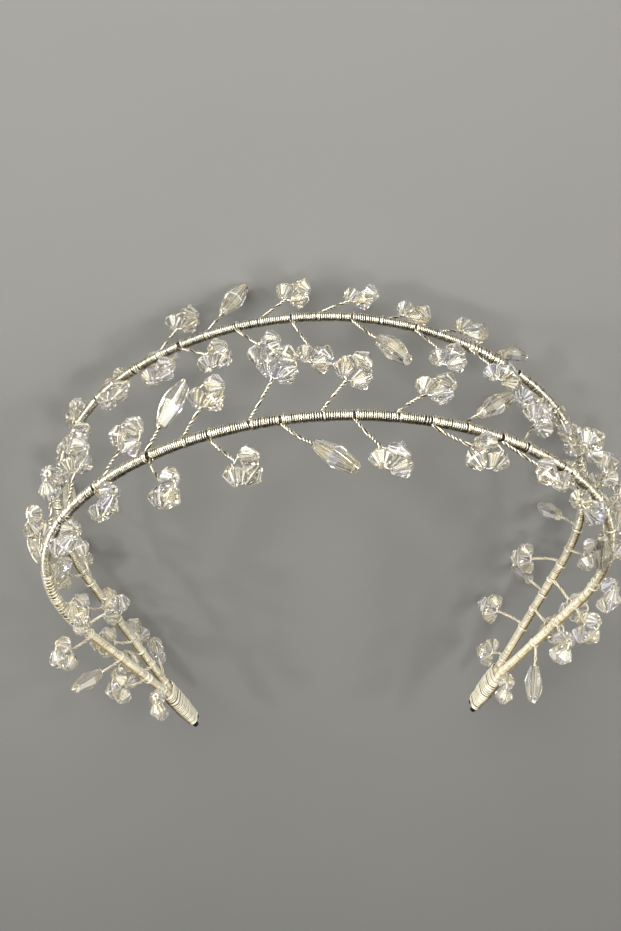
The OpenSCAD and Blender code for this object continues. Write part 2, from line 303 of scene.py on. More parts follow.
class Band:
    """One arch of the tiara: an arc over the head, an arc at each temple and two straight arms."""

    def __init__(self, name, top_r, left_half, right_half, side_r, sprigs):
        self.name = name
        self.top_r, self.side_r = top_r, side_r
        self.half = {-1: left_half, 1: right_half}
        self.sprigs = sprigs
        self.mirror = np.array([1, -1 if name == "front" else 1, 1])
        turn = math.radians(ARM_TURN)
        halves = {hand: math.radians(half) for hand, half in self.half.items()}
        spare = top_r - side_r
        cosines = math.cos(halves[1]) - math.cos(halves[-1])
        sines = math.sin(halves[1]) - math.sin(halves[-1])
        self.shift = (-math.cos(turn) / math.sin(turn) * spare * cosines - spare * sines) / 2
        self.top_len = {hand: top_r * halves[hand] for hand in (-1, 1)}
        self.arcs_len = {h: self.top_len[h] + side_r * (turn - halves[h]) for h in (-1, 1)}
        arm = {
            h: (spare * math.sin(halves[h]) + side_r * math.sin(turn) - END_SPREAD / 2
                + h * self.shift) / -math.cos(turn)
            for h in (-1, 1)
        }
        self.end = {h: self.arcs_len[h] + arm[h] for h in (-1, 1)}
        self.height = (top_r - spare * math.cos(halves[1]) - side_r * math.cos(turn)
                       + arm[1] * math.sin(turn))

    def own_plane(self, s):
        """Place in the band's own plane at a distance s along it, and the turn there in degrees."""
        hand = 1 if s >= 0 else -1
        half, run = math.radians(self.half[hand]), abs(s)
        if run <= self.top_len[hand]:
            turned = run / self.top_r
        else:
            turned = min(math.radians(ARM_TURN), half + (run - self.top_len[hand]) / self.side_r)
        past = max(0.0, run - self.arcs_len[hand])
        low, high = min(turned, half), max(turned, half)
        arm = math.radians(ARM_TURN)
        out = (self.top_r * math.sin(low) + self.side_r * (math.sin(high) - math.sin(half))
               + past * math.cos(arm))
        drop = (self.top_r * (1 - math.cos(low)) + self.side_r * (math.cos(half) - math.cos(high))
                + past * math.sin(arm))
        point = np.array([self.shift + hand * out, 0, self.height - drop])
        return point, hand * math.degrees(turned)

    def joined(self, s):
        """True where the band runs side by side with the other one."""
        return abs(s) > self.end[1 if s >= 0 else -1] - JOINED_LEN

    def place(self, points, joined=False):
        """Points of the band's own plane, brought to where the tiara lies, in mm."""
        joint = np.array([0, 0, JOINED_LEN * math.sin(math.radians(ARM_TURN))])
        side = np.array([0, SIDE_BY_SIDE, 0])
        points = np.atleast_2d(points)
        if joined:
            upright = points + side
        else:
            upright = (points - joint) @ LEANING.T + joint + side
        return (upright * self.mirror) @ LYING.T + np.array(REST_SHIFT)

    def direction(self, vectors, joined=False):
        """Directions of the band's own plane, as they are where the tiara lies."""
        upright = np.atleast_2d(vectors)
        if not joined:
            upright = upright @ LEANING.T
        return (upright * self.mirror) @ LYING.T

    def frame_at(self, s):
        """Middle of the wire, and its directions along the band, across it and off the head."""
        point, turned = self.own_plane(s)
        joined = self.joined(s)
        along, across, off = self.direction(turn_y(turned).T, joined)
        return self.place(point, joined)[0], along, across, off


class Sprig:
    """One stem with its stones, in the frame of its root: X along the stem."""

    def __init__(self, band, row):
        self.band, self.row = band, row
        point, turned = band.own_plane(row[ALONG])
        roll = ROLL_MOST * math.sin(math.radians(ROLL_STEP * row[ALONG]))
        self.turn = (turn_y(turned) @ turn_z(row[EDGE] * (90 - row[LEAN]))
                     @ turn_y(-row[LIFT]) @ turn_x(roll))
        self.root = point + turn_y(turned) @ np.array([0, row[EDGE] * STEM_ROOT_R, 0])
        self.is_drop = row[CRYSTALS] == 1
        self.is_milky = abs(row[ALONG]) > MILKY_FROM

    def place(self, points):
        return self.band.place(np.atleast_2d(points) @ self.turn.T + self.root)


FRONT = Band("front", 67, 50, 50, 47.5, FRONT_SPRIGS)
BACK = Band("back", 75, 32, 41, 44.5, BACK_SPRIGS)
BANDS = (FRONT, BACK)


def unit(v):
    return v / np.linalg.norm(v)


def tube(path, radius, sides, closed=False, about=None, least=0.0):
    """Round wire along a path: its points, its faces and how far each point faces outward.

    Outward is away from the points of about, one for each point of the path, and runs from least
    to 1.
    """
    path = np.asarray(path, float)
    count = len(path)
    if closed:
        along = np.roll(path, -1, 0) - np.roll(path, 1, 0)
    else:
        along = np.gradient(path, axis=0)
    along /= np.linalg.norm(along, axis=1)[:, None]
    side = unit(np.cross(along[0], ASLANT))
    sides_of = np.empty((count, 3))
    for i in range(count):
        side = unit(side - along[i] * side.dot(along[i]))
        sides_of[i] = side
    ups = np.cross(along, sides_of)
    angles = np.arange(sides) * 2 * math.pi / sides
    ring = (np.cos(angles)[None, :, None] * sides_of[:, None]
            + np.sin(angles)[None, :, None] * ups[:, None])
    points = (path[:, None] + radius * ring).reshape(-1, 3)
    if about is None:
        outward = np.ones(len(points))
    else:
        away = path - about
        away /= np.linalg.norm(away, axis=1)[:, None]
        facing = 0.5 + 0.5 * (ring * away[:, None]).sum(2)
        outward = (least + (1 - least) * facing).ravel()
    rows = count if closed else count - 1
    i, j = np.meshgrid(np.arange(rows), np.arange(sides), indexing="ij")
    here, there = i * sides, (i + 1) % count * sides
    nxt = (j + 1) % sides
    quads = np.stack([here + j, here + nxt, there + nxt, there + j], -1).reshape(-1, 4)
    groups = [quads]
    if not closed:
        first = np.arange(sides)[::-1]
        groups.append(np.stack([first, first[::-1] + (count - 1) * sides]))
    return points, groups, outward


def smoothed(path, times, closed=False):
    """The path with its corners cut off, so that a bent wire turns softly."""
    path = np.asarray(path, float)
    for _ in range(times):
        after = np.roll(path, -1, 0)
        near, far = path * 0.75 + after * 0.25, path * 0.25 + after * 0.75
        cut = np.stack([near, far], 1).reshape(-1, 3)
        path = cut if closed else np.vstack([path[:1], cut[1:-2], path[-1:]])
    return path


def joined_mesh(name, parts, smooth, layer=None):
    """One object from many small parts: points in mm, groups of faces, and values of its layer."""
    verts, corners, starts, values = [], [], [], []
    offset = loop = 0
    for points, groups, own_values in parts:
        verts.append(points)
        values.append(own_values)
        for faces in groups:
            corners.append((faces + offset).ravel())
            starts.append(loop + np.arange(len(faces)) * faces.shape[1])
            loop += faces.size
        offset += len(points)
    verts, corners, starts = np.concatenate(verts), np.concatenate(corners), np.concatenate(starts)
    mesh = bpy.data.meshes.new(name)
    mesh.vertices.add(len(verts))
    mesh.vertices.foreach_set("co", (verts * MM).astype(np.float32).ravel())
    mesh.loops.add(len(corners))
    mesh.loops.foreach_set("vertex_index", corners.astype(np.int32))
    mesh.polygons.add(len(starts))
    mesh.polygons.foreach_set("loop_start", starts.astype(np.int32))
    mesh.polygons.foreach_set("use_smooth", np.full(len(starts), smooth))
    if layer:
        attribute = mesh.attributes.new(layer[0], "FLOAT", layer[1])
        attribute.data.foreach_set("value", np.concatenate(values).astype(np.float32))
    mesh.update(calc_edges=True)
    mesh.validate()
    obj = bpy.data.objects.new(name, mesh)
    bpy.context.scene.collection.objects.link(obj)
    return obj


# Layers that the finishes read: how far a wire's surface faces outward, whose low values become
# painted shade, and each facet's shade, which picks its painted glint or painted dark reflection
OUTWARD = ("outward", "POINT")
SHADE = ("facet_shade", "FACE")
# Facet shades, and half the step from one to the next: hazy carries a painted white haze, pale and
# bright painted glints, dark a painted dark reflection
CLEAR, HAZY, PALE, BRIGHT, DARK = 0.0, 0.2, 0.4, 0.6, 0.8
SHADE_HALF = 0.1


def seat(obj, material, slot, *nodes):
    """Gives a piece its finish and body, and lets it stand for the solids that it dresses."""
    obj.data.materials.append(material)
    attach(obj, "root")
    if nodes:
        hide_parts(*nodes)


# Finishes
class Nodes:
    """The nodes of a material or of the sky, with the steps that they share."""

    def __init__(self, owner, coordinates):
        owner.use_nodes = True
        self.tree = owner.node_tree
        self.place = self.add("ShaderNodeTexCoord").outputs[coordinates]

    def add(self, kind, **settings):
        """A new node with its settings."""
        node = self.tree.nodes.new(kind)
        for key, value in settings.items():
            setattr(node, key, value)
        return node

    def join(self, source, target):
        self.tree.links.new(source, target)

    def noise(self, scale, detail=3, rough=0.55):
        """Random patches, of so many to a metre."""
        node = self.add("ShaderNodeTexNoise")
        node.inputs["Scale"].default_value = scale
        node.inputs["Detail"].default_value = detail
        node.inputs["Roughness"].default_value = rough
        self.join(self.place, node.inputs["Vector"])
        return node.outputs["Fac"]

    def ramp(self, source, stops, steps=False):
        """Colours along a value, blended or in steps."""
        node = self.add("ShaderNodeValToRGB")
        node.color_ramp.interpolation = "CONSTANT" if steps else "LINEAR"
        node.color_ramp.elements.remove(node.color_ramp.elements[1])
        for i, (at, colour) in enumerate(stops):
            element = node.color_ramp.elements[0] if i == 0 else node.color_ramp.elements.new(at)
            element.position = at
            element.color = (*colour, 1)
        self.join(source, node.inputs["Fac"])
        return node.outputs["Color"]

    def parts(self):
        """X, Y and Z of the place."""
        node = self.add("ShaderNodeSeparateXYZ")
        self.join(self.place, node.inputs["Vector"])
        return node.outputs

    def spread(self, source, low, high, start=0.0, end=1.0):
        """A value that runs from start to end, spread from low to high."""
        node = self.add("ShaderNodeMapRange")
        ranges = {"From Min": start, "From Max": end, "To Min": low, "To Max": high}
        for key, value in ranges.items():
            node.inputs[key].default_value = value
        self.join(source, node.inputs["Value"])
        return node.outputs["Result"]

    def multiply(self, first, second):
        """One colour darkened by another."""
        node = self.add("ShaderNodeMix", data_type="RGBA", blend_type="MULTIPLY")
        node.inputs["Factor"].default_value = 1.0
        self.join(first, node.inputs["A"])
        self.join(second, node.inputs["B"])
        return node.outputs["Result"]

    def layer(self, name):
        """A layer of the mesh."""
        return self.add("ShaderNodeAttribute", attribute_name=name).outputs["Fac"]

    def bump(self, source, strength, distance):
        """Fine relief."""
        node = self.add("ShaderNodeBump")
        node.inputs["Strength"].default_value = strength
        node.inputs["Distance"].default_value = distance
        self.join(source, node.inputs["Height"])
        return node.outputs["Normal"]


class Finish(Nodes):
    """A material with its shader at hand."""

    def __init__(self, name):
        self.material = bpy.data.materials.new(name)
        super().__init__(self.material, "Object")
        self.shader = self.tree.nodes["Principled BSDF"]
        self.output = self.tree.nodes["Material Output"]

    def set(self, shader=None, **values):
        """Values on a shader's own sockets."""
        shader = shader or self.shader
        for key, value in values.items():
            shader.inputs[key.replace("_", " ")].default_value = value


def silver_finish(name, wire, worn_share, roughness):
    """Drawn silver wire: warm, uneven along its length, and dark brown in the grooves between its
    turns, partly tarnish and partly painted shade.

    It is polished over the head and worn to a paler satin towards the ends, where the grooves take
    a share of the tarnish, so their painted shade is paler. Where the layer is low on a whole side
    of a band, that side gets painted shade in brown.
    """
    f = Finish(name)
    patches = f.ramp(f.noise(700, 3, 0.6), [(0.26, wire.tarnish), (0.46, wire.bright)])
    toward_ends = f.spread(f.parts()["Y"], 0.0, 1.0, WORN_FROM, WORN_TO)
    f.join(f.spread(toward_ends, 1.0, 0.25), f.shader.inputs["Metallic"])
    outward = f.layer(OUTWARD[0])
    # Painted shade between the turns, partly tarnish: where a wire faces in it takes the groove
    # colour
    worn_groove_tarnish_and_shade = [shade * worn_share for shade in wire.tarnish]
    depth = f.add("ShaderNodeMix", data_type="RGBA")
    f.join(f.ramp(outward, [(0.46, (0, 0, 0)), (0.78, (1, 1, 1))]), depth.inputs["Factor"])
    f.join(f.ramp(toward_ends, [(0.0, wire.groove_tarnish_and_shade), (1.0, worn_groove_tarnish_and_shade)]), depth.inputs["A"])
    depth.inputs["B"].default_value = (1, 1, 1, 1)
    # Painted shade: the inner half of each wire, and the side of a band where the layer is lowered,
    # turn dark brown
    painted_shade = f.ramp(outward, [(0.1, (0.15, 0.1, 0.05)), (0.5, (1, 1, 1))])
    colour = f.multiply(f.multiply(patches, depth.outputs["Result"]), painted_shade)
    f.join(colour, f.shader.inputs["Base Color"])
    rough = f.spread(f.noise(2600, 2), roughness * 0.7, roughness * 1.5)
    f.join(rough, f.shader.inputs["Roughness"])
    f.join(f.bump(f.noise(5200, 2), 0.35, 0.00003), f.shader.inputs["Normal"])
    return f.material


def core_finish(name, colour):
    """Dark drawn core wire with faint scuffs."""
    f = Finish(name)
    f.set(Metallic=0.85)
    lighter = tuple(min(1, c * 2.6 + 0.02) for c in colour)
    scuffed = f.ramp(f.noise(1500, 5), [(0.4, colour), (0.75, lighter)])
    f.join(scuffed, f.shader.inputs["Base Color"])
    f.join(f.spread(f.noise(2200), 0.3, 0.6), f.shader.inputs["Roughness"])
    f.join(f.bump(f.noise(4000), 0.3, 0.00002), f.shader.inputs["Normal"])
    return f.material


def crystal_finish(name, glass, body):
    """Clear cut glass with a thin coat: some facets carry painted white glints or painted dark
    reflections, facets seen edge-on a painted highlight, and some turn violet or straw.
    """
    f = Finish(name)
    f.set(Roughness=0.02, IOR=1.56, Transmission_Weight=1.0)
    f.set(Thin_Film_Thickness=270, Thin_Film_IOR=1.62)
    stops = [(0.34, glass.violet), (0.42, glass.clear), (0.52, glass.clear), (0.6, glass.straw)]
    tint = f.ramp(f.noise(260, 1), stops)
    f.join(tint, f.shader.inputs["Base Color"])
    f.join(f.bump(f.noise(1500, 1), 0.12, 0.00004), f.shader.inputs["Normal"])
    flash = f.add("ShaderNodeBsdfPrincipled")
    f.set(flash, Roughness=0.18, IOR=1.6, Coat_Weight=0.6)
    # Painted glints and dark reflections: each facet's shade sets the flash's colour and weight
    shade = f.layer(SHADE[0])
    tones = ((CLEAR, (1, 1, 1)), (PALE, (1, 0.95, 0.78)), (BRIGHT, (1, 1, 0.97)),
             (DARK, (0.05, 0.04, 0.03)))
    toned = f.ramp(shade, [(max(0, at - SHADE_HALF), tone) for at, tone in tones], steps=True)
    f.join(f.multiply(tint, toned), flash.inputs["Base Color"])
    shares = ((CLEAR, 0.12), (HAZY, 0.4), (PALE, 0.9), (BRIGHT, 2.2), (DARK, 2.2))
    weights = [(max(0, at - SHADE_HALF), (share * body,) * 3) for at, share in shares]
    # Painted highlight: facets seen edge-on get more of the white flash
    edge = f.add("ShaderNodeLayerWeight")
    edge.inputs["Blend"].default_value = 0.2
    painted_edge_highlight = f.ramp(edge.outputs["Facing"], [(0.7, (0, 0, 0)), (1.0, (0.55, 0.55, 0.55))])
    either = f.add("ShaderNodeMath", operation="MAXIMUM")
    f.join(f.ramp(shade, weights, steps=True), either.inputs[0])
    f.join(painted_edge_highlight, either.inputs[1])
    mix = f.add("ShaderNodeMixShader")
    f.join(either.outputs["Value"], mix.inputs["Fac"])
    f.join(f.shader.outputs["BSDF"], mix.inputs[1])
    f.join(flash.outputs["BSDF"], mix.inputs[2])
    f.join(mix.outputs["Shader"], f.output.inputs["Surface"])
    return f.material


def floor_finish(name, colour):
    """Plain matt board."""
    f = Finish(name)
    darker = tuple(c * 0.96 for c in colour)
    f.join(f.ramp(f.noise(12, 3), [(0.3, darker), (0.7, colour)]), f.shader.inputs["Base Color"])
    f.set(Roughness=0.75)
    return f.material


# Wire
def wound_turns(band, start, end, pitch, dice):
    """Wire wound round the core between two gaps, each (place along the band, angle, opening)."""
    (s0, a0, open0), (s1, a1, open1) = start, end
    turns = max(1, round((s1 - s0) / pitch - (a1 - a0) / (2 * math.pi)))
    total = turns * 2 * math.pi + a1 - a0
    widths = (1 + TURN_VARIES * dice.standard_normal(turns).clip(-1.6, 2)
              + WIDE_TURN * (dice.random(turns) < WIDE_TURNS))
    marks = np.concatenate([[0], np.cumsum(widths)])
    steps = np.linspace(0, turns, turns * TURN_STEPS + 1)
    each = np.arange(turns + 1)
    swells = 1 + TURN_SWELLS * dice.standard_normal(turns + 1).clip(-1, 2)
    radii = (BORE_R + WIRE_D / 2) * np.interp(steps, each, swells)
    tone = np.interp(steps, each, 1 - TURN_DARKENS * dice.random(turns + 1) ** 2)
    s = s0 + (s1 - s0) * np.interp(steps, each, marks / marks[-1])
    angles = a0 + total * steps / turns
    near0, near1 = np.exp((s0 - s) / OPEN_FADE), np.exp((s - s1) / OPEN_FADE)
    s = s + open0 * near0 * facing(angles, a0) - open1 * near1 * facing(angles, a1)
    s += GAP_SLANT * np.cos(angles) * (near0 * np.sign(open0) + near1 * np.sign(open1))
    path, middles = coil(band, s, radii, angles)
    points, groups, outward = tube(path, WIRE_D / 2, WIRE_SIDES, about=middles)
    # Painted shade on one side of the band darkens these turns as well
    tone *= 1 - painted_side_shade(band, s, angles)
    return points, groups, outward * np.repeat(tone, WIRE_SIDES)


def coil(band, places, radii, angles):
    """Points round the core at these places along the band, and the core's middle beside each."""
    path, middles = [], []
    for s, r, a in zip(places, radii, angles):
        middle, _, across, off = band.frame_at(s)
        middles.append(middle)
        path.append(middle + r * (math.cos(a) * across + math.sin(a) * off))
    return path, np.array(middles)


def painted_side_shade(band, s, angles):
    """Painted shade on one side of a band, at places along it and angles round the wire."""
    toward_ends = np.interp(abs(s), SIDE_SHADE_FROM, (0, 1))
    over_head, on_arm, faint = SHADED_SIDE_AT[band.name]
    middle = np.radians(over_head + toward_ends * (on_arm - over_head))
    deepest = faint + toward_ends * (SIDE_SHADE_ON_ARM - faint)
    narrow = SIDE_SHADE_NARROW[0] + toward_ends * (SIDE_SHADE_NARROW[1] - SIDE_SHADE_NARROW[0])
    return deepest * np.exp(narrow * (np.cos(angles - middle) - 1))


def facing(angles, root_angle):
    """From 0 on the far side of the wire to 1 where a gap opens, between its root and outside."""
    middle = (root_angle + math.pi / 2) / 2
    return (0.5 + 0.5 * np.cos(angles - middle)) ** GAP_NARROW


def winding_parts(band, pitch, gap, dice):
    """The close winding of a band, opened at each root where its wire runs out into a stem."""
    stops = [(-band.end[-1] + BARE_TIP + BOUND_CORES, 0.0, 0.0)]
    openings = {}
    for row in sorted(band.sprigs):
        if abs(row[ALONG]) > WELL_SEEN:
            share = ARM_GAP
        else:
            share = LEAST_GAP + GAP_VARIES * dice.random() ** 2
        openings[row] = gap * share
        stops.append((row[ALONG], 0.0 if row[EDGE] > 0 else math.pi, openings[row]))
    stops.append((band.end[1] - BARE_TIP - BOUND_CORES, 0.0, 0.0))
    parts = []
    for before, after in zip(stops[:-1], stops[1:]):
        start = (before[0] + ROOT_HALF * np.sign(before[2]), *before[1:])
        end = (after[0] - ROOT_HALF * np.sign(after[2]), *after[1:])
        parts.append(wound_turns(band, start, end, pitch, dice))
    return parts, openings


def loose_wrap_parts(band, pitch, dice):
    """A second, open wrap along an arm, whose turns stand proud of the edge."""
    parts = []
    for hand, first, last, looseness in OPEN_WRAP[band.name]:
        turns = int((last - first) / (pitch * looseness))
        steps = np.arange(turns * TURN_STEPS + 1) / TURN_STEPS
        slips = WRAP_SLIPS * dice.standard_normal(turns + 1).clip(-1, 1)
        slips = np.interp(steps, np.arange(turns + 1), slips)
        s = hand * (first + (last - first) * (steps + slips) / turns)
        path, middles = coil(band, s, WINDING_R + WRAP_STANDS * abs(slips), 2 * math.pi * steps)
        parts.append(tube(path, OPEN_WRAP_R, OPEN_WRAP_SIDES, about=middles))
    return parts


def last_turn(sprig, opening, strand_r):
    """The raised turn round the band from which a stem starts."""
    row = sprig.row
    steps = np.linspace(-LAST_TURN, 0, LAST_STEPS)
    s = row[ALONG] + ROOT_HALF + opening * (1 + steps) + strand_r * (1 - LAST_SLANT * steps)
    radii = WINDING_R + LAST_LIFT - LAST_DIP * np.maximum(0, -steps - LAST_DIP_FROM)
    path, _ = coil(sprig.band, s, radii, (0.0 if row[EDGE] > 0 else math.pi) + 2 * math.pi * steps)
    return tube(path, strand_r * LAST_THICK, STRAND_SIDES)


def stem_parts(sprig, opening, twist_pitch, strand_r):
    """Two strands that leave the winding on either side of the root and twist into one stem."""
    row = sprig.row
    length = row[REACH] - (DROP_LEN / 2 + LOOP_OVER if sprig.is_drop else LOOP_CORNER_R)
    _, along, _, _ = sprig.band.frame_at(row[ALONG])
    root, tip = sprig.place([[0, 0, 0], [1, 0, 0]])
    ahead = unit(tip - root)
    aside = unit(along - ahead * along.dot(ahead))
    up = np.cross(ahead, aside)
    t = np.linspace(0, length, max(12, int(length / twist_pitch * TWIST_STEPS)))
    swing = np.sin(math.pi * t / length)[:, None]
    # Each stem bends back against its lean and bows by its own amount
    own_bend, own_bow = 0.6 + 0.5 * math.sin(row[ALONG] * 2.3), math.sin(row[ALONG] * 1.7)
    bend = -STEM_BEND * math.sin(math.radians(row[LEAN])) * own_bend
    middle = root + t[:, None] * ahead + swing * (bend * aside + STEM_BOW * own_bow * up)
    wide = max(0, ROOT_HALF + opening / 2 - strand_r)
    apart = strand_r * STRAND_APART + wide * np.exp(-(t / STRANDS_MEET) ** 2)
    angle = 2 * math.pi * (t / twist_pitch + TWIST_UNEVEN * np.sin(t * 1.1 + row[ALONG]))
    offset = apart[:, None] * (np.cos(angle)[:, None] * aside + np.sin(angle)[:, None] * up)
    parts = [last_turn(sprig, opening, strand_r)]
    for sign in (-1, 1):
        path = middle + sign * offset
        parts.append(tube(path, strand_r, STRAND_SIDES, about=middle, least=LEAST_OUTWARD))
    return parts


def cluster_wire(sprig, strand_r):
    """Loop of wire that runs through three crystals."""
    corners = []
    for k in range(3):
        for end in (-1, 1):
            corners.append(turn_z(120 * k) @ np.array([CLUSTER_R, end * LOOP_HALF, 0]))
    path = smoothed(np.array(corners) + [sprig.row[REACH], 0, 0], 2, closed=True)
    return tube(sprig.place(path), strand_r, LOOP_SIDES, closed=True)


def drop_wire(sprig, strand_r):
    """Wire through a drop, with a small eye at its tip, that comes back along the outside."""
    reach, half = sprig.row[REACH], DROP_LEN / 2
    eye = [(half + 0.15, 0.0), (half + 0.55, 0.12), (half + 0.75, 0.45), (half + 0.45, 0.75),
           (half + 0.1, 0.62)]
    outside = [(half - 0.5, 1.0), (3.0, 1.72), (1.2, 2.28), (-1.2, 2.28), (-3.0, 1.74),
               (-half + 0.3, 0.95), (-half - 0.6, 0.3)]
    points = [(-half - LOOP_OVER, 0.0), (0.0, 0.0), *eye, *outside]
    path = np.array([(reach + x, 0.0, y) for x, y in points])
    return tube(sprig.place(smoothed(path, 2)), strand_r, LOOP_SIDES)


def binding_parts(hand, wire_r, dice):
    """Coarse wire laid round both windings at one end of the tiara, turn by turn."""
    band = BACK
    first = band.end[hand] - JOINED_LEN + BINDING_INSET["first"]
    last = band.end[hand] - BARE_TIP - BINDING_INSET["last"]
    turns = int((last - first) / (wire_r * BINDING_PITCH))
    flat = 2 * SIDE_BY_SIDE
    steps = np.linspace(0, turns, turns * BINDING_STEPS + 1)
    slips = BINDING_SLIPS * dice.standard_normal(turns + 1).clip(-1.5, 2)
    wobble = np.interp(steps, np.arange(turns + 1), slips)
    path, middles, angles = [], [], []
    for step, slip in zip(steps, wobble):
        s = first + (last - first) * step / turns
        bare = min(1, max(0, (s - last + BOUND_CORES) / STEP_DOWN))
        lift = BINDING_GAP + wire_r + SLIP_RISES * abs(slip)
        r = WINDING_R + lift - bare * (WINDING_R - CORE_R)
        girth = 2 * math.pi * r + 2 * flat
        at = (step % 1.0) * girth
        arc = math.pi * r
        if at < arc:
            a = at / r - math.pi / 2
            y, z = SIDE_BY_SIDE + r * math.cos(a), r * math.sin(a)
        elif at < arc + flat:
            y, z = SIDE_BY_SIDE - (at - arc), r
        elif at < 2 * arc + flat:
            a = (at - arc - flat) / r + math.pi / 2
            y, z = -SIDE_BY_SIDE + r * math.cos(a), r * math.sin(a)
        else:
            y, z = -SIDE_BY_SIDE + (at - 2 * arc - flat), -r
        angles.append(math.atan2(z, y))
        middle, _, across, off = band.frame_at(hand * (s + slip))
        path.append(middle + across * (y - SIDE_BY_SIDE) + off * (z + SLIP_SHIFTS * slip))
        middles.append(middle + across * (max(-SIDE_BY_SIDE, min(SIDE_BY_SIDE, y)) - SIDE_BY_SIDE))
    points, groups, outward = tube(path, wire_r, BINDING_SIDES, about=np.array(middles))
    # The binding gets the same painted shade on one side as the arm under it
    tone = 1 - painted_side_shade(band, last, np.array(angles))
    return [(points, groups, outward * np.repeat(tone, BINDING_SIDES))]


# Cut glass

# How a stone's flat facets are split lengthwise, as shares of their width, into thin and wide
# strips by turns that each carry a painted glint, a painted dark reflection or none, and how often
# each shade comes: on wide strips clear, hazy, pale and bright, on thin ones clear, bright and
# dark, on rims clear, pale and bright
Cut = namedtuple("Cut", "splits wide thin rim")
SMALL_SPLITS = (0, 0.12, 0.5, 0.62)
LONG_SPLITS = (0, 0.1)
CLEAR_STONE = Cut(SMALL_SPLITS, (0.5, 0.27, 0.13, 0.1), (0.36, 0.28, 0.36), (0.3, 0.45, 0.25))
MILKY_STONE = Cut(SMALL_SPLITS, (0.12, 0.32, 0.4, 0.16), (0.5, 0.38, 0.12), (0.35, 0.45, 0.2))
CLEAR_DROP = Cut(LONG_SPLITS, (0.5, 0.3, 0.18, 0.02), (0.3, 0.28, 0.42), (0.1, 0.6, 0.3))
MILKY_DROP = Cut(LONG_SPLITS, (0.12, 0.36, 0.46, 0.06), (0.5, 0.4, 0.1), (0.1, 0.6, 0.3))


def cut_stone(rings, cut, facets, dice):
    """Closed cut solid along Z with a hole, from rings of (height, radius)."""
    angles = np.arange(facets + 1) * 2 * math.pi / facets
    corners = np.stack([np.cos(angles), np.sin(angles), np.zeros(facets + 1)], 1)
    share = np.array(cut.splits)[None, :, None]
    outline = (corners[:-1, None] * (1 - share) + corners[1:, None] * share).reshape(-1, 3)
    rings = [*rings, (rings[-1][0], HOLE_R), (rings[0][0], HOLE_R)]
    points = np.concatenate([outline * r + [0, 0, z] for z, r in rings])
    around = len(outline)
    j = np.arange(around)
    nxt = (j + 1) % around
    quads, shades = [], []
    for i in range(len(rings)):
        here, there = i * around, (i + 1) % len(rings) * around
        quads.append(np.stack([there + j, there + nxt, here + nxt, here + j], 1))
        wide = dice.choice((CLEAR, HAZY, PALE, BRIGHT), around, p=cut.wide)
        thin = dice.choice((CLEAR, BRIGHT, DARK), around, p=cut.thin)
        rim = dice.choice((CLEAR, PALE, BRIGHT), around, p=cut.rim)
        # The last three rows are the lower end, the wall of the hole and the upper end
        if i == len(rings) - 2:
            shades.append(np.full(around, CLEAR))
        elif i > len(rings) - 4 or rings[i][0] - rings[i + 1][0] < RIM_HIGH:
            shades.append(rim)
        else:
            shades.append(np.where(j % 2 == 0, thin, wide))
    return points, [np.concatenate(quads)], np.concatenate(shades)


def small_stone(facets, milky, dice):
    """Double cone with a narrow girdle."""
    h, g = CRYSTAL_LEN / 2, GIRDLE_HALF
    rings = [(h, CRYSTAL_END_R), (g, CRYSTAL_R), (-g, CRYSTAL_R), (-h, CRYSTAL_END_R)]
    return cut_stone(rings, MILKY_STONE if milky else CLEAR_STONE, facets, dice)


def drop_stone(facets, milky, dice):
    """Long double cone with a narrow girdle and bevelled ends."""
    h, g, end = DROP_LEN / 2, GIRDLE_HALF, DROP_END_R - BEVEL_DEEP
    rings = [(h, end), (h - BEVEL_HIGH, DROP_END_R), (g, DROP_R),
             (-g, DROP_R), (BEVEL_HIGH - h, DROP_END_R), (-h, end)]
    return cut_stone(rings, MILKY_DROP if milky else CLEAR_DROP, facets, dice)


def cluster_parts(sprig, facets, dice):
    """Three stones on the loop of a sprig, each turned on its wire by its own amount."""
    parts = []
    for k in range(3):
        points, groups, shades = small_stone(facets, sprig.is_milky, dice)
        points = points @ turn_z(360 * dice.random()).T @ turn_x(90).T + [CLUSTER_R, 0, 0]
        points = points @ turn_z(120 * k).T + [sprig.row[REACH], 0, 0]
        parts.append((sprig.place(points), flipped(groups, sprig.band), shades))
    return parts


def drop_part(sprig, facets, dice):
    """The long stone at the end of a sprig."""
    points, groups, shades = drop_stone(facets, sprig.is_milky, dice)
    points = points @ turn_z(180 / facets).T @ turn_y(90).T + [sprig.row[REACH], 0, 0]
    return sprig.place(points), flipped(groups, sprig.band), shades


def flipped(groups, band):
    """The front band is a mirrored one, so its faces are wound the other way."""
    return [g[:, ::-1] for g in groups] if band.mirror[1] < 0 else groups


